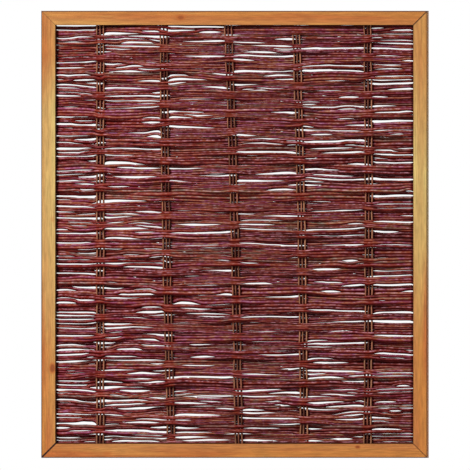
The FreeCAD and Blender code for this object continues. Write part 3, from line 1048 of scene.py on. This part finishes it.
        # The slit under the lowest rod also has to clear the row below, which takes no account of it
        below[0] *= 2
        apart = (rods * (below + above) / 2).sum(0)
        packing = (self.pitch - slits.sum(0) - apart) / np.maximum(rods.sum(0) - apart, MM)
        packing = np.clip(packing, LEAST_PACKING, 1)
        below, above = (packing + (1 - packing) * way for way in (below, above))
        filled = self.pitch / (slits + rods * (below + above) / 2).sum(0)
        slits, below, above = slits * filled, below * filled / 2, above * filled / 2
        stacked = np.cumsum(slits + rods * (below + above), axis=0) - rods * above
        crossing = self.cross(stacked, below, above)
        gathered = self.gathered()
        stacked = self.pitch / 2 + (stacked - self.pitch / 2) * gathered
        return self.base + stacked + self.drift(), packing * gathered, crossing, beside

    def drift(self):
        """Rise and fall that neighbouring rows share, stilled near the rails."""
        calm = min(1.0, (self.base - self.low.z) / CALM, (self.high.z - self.base - self.pitch) / CALM)
        line = np.zeros_like(self.places)
        for size, along, upwards, start in DRIFTS:
            line += size * np.sin(2 * math.pi * (self.places / along + self.base / upwards + start))
        return self.settings.wander * calm * line

    def side(self):
        """Which side of the uprights the row is on at each place: one behind, minus one in front."""
        turns = [(self.low.x, END_SIDE * self.sides[0])]
        for station, way in zip(self.stations, self.sides):
            turns += [(station - PASS_FLAT, way), (station + PASS_FLAT, way)]
        turns.append((self.high.x, END_SIDE * self.sides[-1]))
        line = np.zeros_like(self.places)
        for (start, first), (end, last) in zip(turns, turns[1:]):
            inside = (self.places >= start) & (self.places <= end)
            line[inside] = first + (last - first) * eased((self.places[inside] - start) / (end - start))
        return line

    def lines(self):
        """Points and radii of each rod over the stretch where it is, and where it has slits beside it."""
        low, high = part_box(middle_upright(GROUPS[0]))
        upright_radius = (high.y - low.y) / 2
        side = self.side()
        heights, packing, crossings, beside = self.heights()
        bunched = np.sqrt(1 - np.clip(packing, LEAST_BUNCHED, 1) ** 2)
        thicknesses = self.thicknesses * np.sqrt(np.maximum(self.gathered(), 1))
        found = []
        for number, (thickness, height, crossing) in enumerate(zip(thicknesses, heights, crossings)):
            back = thickness * np.maximum(bunched, crossing) * (number % 2)
            clear = upright_radius + thickness / 2 + PASS_CLEAR + back / 2
            depth = side * clear + (back - thickness * bunched / 2) * (1 - np.abs(side))
            sway, rise = (self.settings.kink * waves(self.rng, self.places, ROD_BENDS) for _ in range(2))
            points = np.column_stack((self.places, depth + sway * KINK_DEPTH, height + rise))
            here = thickness > 0
            found.append((points[here], thickness[here] / 2, beside[number, here]))
        return found


# How much lighter rods at the front of a row are than those set back in it, which get painted shade
FRONT_LIGHTER = 0.4


class HURDLE_OT_weave(bpy.types.Operator):
    """Weaves the rows of willow rods in and out of the uprights"""

    bl_idname = "hurdle.weave"
    bl_label = "Woven Rows"

    def execute(self, context):
        settings = context.scene.hurdle_weave
        uprights = context.scene.hurdle_uprights
        finish = willow_bark(context.scene.hurdle_colours, uprights)
        rng = np.random.default_rng(settings.seed)
        straight = straight_rod("straight_rod", settings.sides, settings.places)
        room = [settings.butt] * len(SPAN_SLITS)
        for row in range(settings.rows):
            woven = WovenRow(settings, uprights, row, rng, room)
            lines, room = woven.lines(), woven.room
            if not all(np.isfinite(points).all() for points, *_ in lines):
                raise RuntimeError(f"row {row + 1} of the weave has a rod without a place")
            rods = []
            for number, (points, radii, beside) in enumerate(lines):
                rod = bent_copy(straight, f"rod_{row}_{number}", points, radii, rng.uniform(0, 2 * math.pi))
                self.tint(rod, rng, number % 2 == 1, points[:, 0], beside)
                self.share_map(rod, number, len(lines))
                rods.append(rod)
            piece = joined(rods, f"woven_row_{row + 1:02d}")
            piece.data.materials.clear()
            piece.data.materials.append(finish)
            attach(piece, BODY)
            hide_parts(WEAVE_NODE)
        bpy.data.objects.remove(straight)
        return {"FINISHED"}

    def tint(self, rod, rng, recessed, places, beside):
        """Gives a rod its kind of bark, lightness and share of the bloom highlight, with painted shade where it
        is set back and beside slits.
        """
        attribute = rod.data.color_attributes.new(TONE, "FLOAT_COLOR", "POINT")
        corners = np.zeros(len(rod.data.vertices) * 3, np.float32)
        rod.data.vertices.foreach_get("co", corners)
        # Painted shade on rods set back in the row, and below it on rods beside slits
        lightness = (1 - FRONT_LIGHTER) * rng.random() + (0.0 if recessed else FRONT_LIGHTER)
        tones = np.tile((rng.random(), lightness, rng.random() ** 2, 1.0), (len(rod.data.vertices), 1))
        tones[:, 1] -= BESIDE_SLIT * np.interp(corners[::3], places, beside)
        attribute.data.foreach_set("color", tones.ravel())

    def share_map(self, rod, number, many):
        """Moves a rod's map to its own share of the row's map."""
        layer = rod.data.uv_layers[BAKE_MAP]
        places = np.zeros(len(layer.uv) * 2, np.float32)
        layer.uv.foreach_get("vector", places)
        places[1::2] = (places[1::2] + number) / many
        layer.uv.foreach_set("vector", places)


class HURDLE_OT_timber(bpy.types.Operator):
    """Stains the frame's four timbers and finishes the hidden corner tongues"""

    bl_idname = "hurdle.timber"
    bl_label = "Timber Frame"

    def execute(self, context):
        colours = context.scene.hurdle_colours
        for grain, timbers in TIMBERS.items():
            for timber in timbers:
                self.finish(timber, stained_pine(colours, timber, grain))
        bare = bare_wood(colours)
        for tongue in TONGUES:
            self.finish(tongue, bare)
        return {"FINISHED"}

    def finish(self, node, material):
        """Gives a solid of the frame its finish."""
        mesh = solid(node).data
        mesh.materials.clear()
        mesh.materials.append(material)


# Grey and roughness of the floor, pure white, and how far the camera sees in metres
FLOOR_GREY = (0.9, 0.9, 0.9, 1)
FLOOR_ROUGHNESS = 0.9
WHITE = (1, 1, 1, 1)
CAMERA_REACH = 100


class HURDLE_OT_stage(bpy.types.Operator):
    """Sets the floor, the light and the camera"""

    bl_idname = "hurdle.stage"
    bl_label = "Stage"

    def execute(self, context):
        settings = context.scene.hurdle_stage
        context.scene.view_settings.view_transform = "Standard"
        self.floor(settings)
        self.surroundings(context.scene, settings)
        self.lamp(settings, "key_light", settings.key, settings.key_bearing, settings.key_rise)
        self.lamp(settings, "back_light", settings.back, settings.back_bearing, settings.back_rise)
        self.camera(context.scene, settings)
        if context.scene.camera is None or context.scene.world is None:
            raise RuntimeError("the stage has no camera or no surroundings")
        return {"FINISHED"}

    def floor(self, settings):
        """A plain pale floor."""
        deselect_all()
        bpy.ops.mesh.primitive_plane_add(size=settings.floor, location=(0, 0, 0))
        floor = bpy.context.object
        floor.name = "floor"
        paint = bpy.data.materials.new("pale_floor")
        paint.use_nodes = True
        shader = paint.node_tree.nodes["Principled BSDF"]
        shader.inputs["Base Color"].default_value = FLOOR_GREY
        shader.inputs["Roughness"].default_value = FLOOR_ROUGHNESS
        floor.data.materials.append(paint)
        floor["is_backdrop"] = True

    def surroundings(self, scene, settings):
        """White to the eye, and an even soft light on the object."""
        world = bpy.data.worlds.new("white_surroundings")
        scene.world = world
        world.use_nodes = True
        tree = world.node_tree
        tree.nodes.clear()
        path = tree.nodes.new("ShaderNodeLightPath")
        seen = path.outputs["Is Camera Ray"]
        for ray in ("Is Glossy Ray", "Is Transmission Ray"):
            either = tree.nodes.new("ShaderNodeMath")
            either.operation = "MAXIMUM"
            tree.links.new(seen, either.inputs[0])
            tree.links.new(path.outputs[ray], either.inputs[1])
            seen = either.outputs[0]
        mix = tree.nodes.new("ShaderNodeMixShader")
        tree.links.new(seen, mix.inputs[0])
        for socket, power in ((1, settings.fill), (2, 1.0)):
            background = tree.nodes.new("ShaderNodeBackground")
            background.inputs["Color"].default_value = WHITE
            background.inputs["Strength"].default_value = power
            tree.links.new(background.outputs[0], mix.inputs[socket])
        output = tree.nodes.new("ShaderNodeOutputWorld")
        tree.links.new(mix.outputs[0], output.inputs["Surface"])

    def aim(self, thing, settings, bearing, rise, distance):
        """Sets a lamp or the camera by its angles round the panel and above it, and turns it to the panel."""
        level = math.cos(rise)
        back = Vector((-math.sin(bearing) * level, -math.cos(bearing) * level, math.sin(rise)))
        thing.location = Vector((0, 0, settings.view_height)) + back * distance
        thing.rotation_euler = (-back).to_track_quat("-Z", "Y").to_euler()

    def lamp(self, settings, name, power, bearing, rise):
        """A soft far light."""
        deselect_all()
        bpy.ops.object.light_add(type="AREA")
        lamp = bpy.context.object
        lamp.name = name
        lamp.data.shape = "DISK"
        lamp.data.size = settings.lamp_size
        lamp.data.energy = power
        lamp.visible_camera = False
        self.aim(lamp, settings, bearing, rise, settings.lamp_distance)

    def camera(self, scene, settings):
        """The photograph's view: straight on, a little to the right of the middle, with no perspective."""
        deselect_all()
        bpy.ops.object.camera_add()
        camera = bpy.context.object
        camera.data.type = "ORTHO"
        camera.data.ortho_scale = settings.view_width
        camera.data.clip_end = CAMERA_REACH
        self.aim(camera, settings, -settings.yaw, 0, settings.distance)
        scene.camera = camera


class HURDLE_PT_panel(bpy.types.Panel):
    """Lists the pieces and their settings"""

    bl_idname = "HURDLE_PT_panel"
    bl_label = "Woven Willow Hurdle"
    bl_space_type = "VIEW_3D"
    bl_region_type = "UI"
    bl_category = "Hurdle"

    def draw(self, context):
        for operator in OPERATORS:
            self.layout.operator(operator.bl_idname)
        for name, group in SETTINGS:
            box = self.layout.box()
            for key in group.__annotations__:
                box.prop(getattr(context.scene, name), key)


OPERATORS = (HURDLE_OT_timber, HURDLE_OT_uprights, HURDLE_OT_weave, HURDLE_OT_stage)
SETTINGS = (
    ("hurdle_weave", HurdleWeaveSettings),
    ("hurdle_uprights", HurdleUprightSettings),
    ("hurdle_colours", HurdleColourSettings),
    ("hurdle_stage", HurdleStageSettings),
)


def register():
    """Makes the settings, the operators and the panel known."""
    for name, group in SETTINGS:
        bpy.utils.register_class(group)
        setattr(bpy.types.Scene, name, bpy.props.PointerProperty(type=group))
    for kind in (*OPERATORS, HURDLE_PT_panel):
        bpy.utils.register_class(kind)


def unregister():
    """Takes them away again."""
    for kind in (HURDLE_PT_panel, *reversed(OPERATORS)):
        bpy.utils.unregister_class(kind)
    for name, group in reversed(SETTINGS):
        delattr(bpy.types.Scene, name)
        bpy.utils.unregister_class(group)


def main():
    """Builds the hurdle's looks and its stage, and works out its size."""
    register()
    for operator in (bpy.ops.hurdle.timber, bpy.ops.hurdle.uprights, bpy.ops.hurdle.weave, bpy.ops.hurdle.stage):
        if operator() != {"FINISHED"}:
            raise RuntimeError(f"{operator.idname_py()} did not finish")
    boxes = {"cad": CAD_BOX, "visual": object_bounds()}
    {name: [list(corner) for corner in box] for name, box in boxes.items()}


if __name__ == "__main__":
    main()
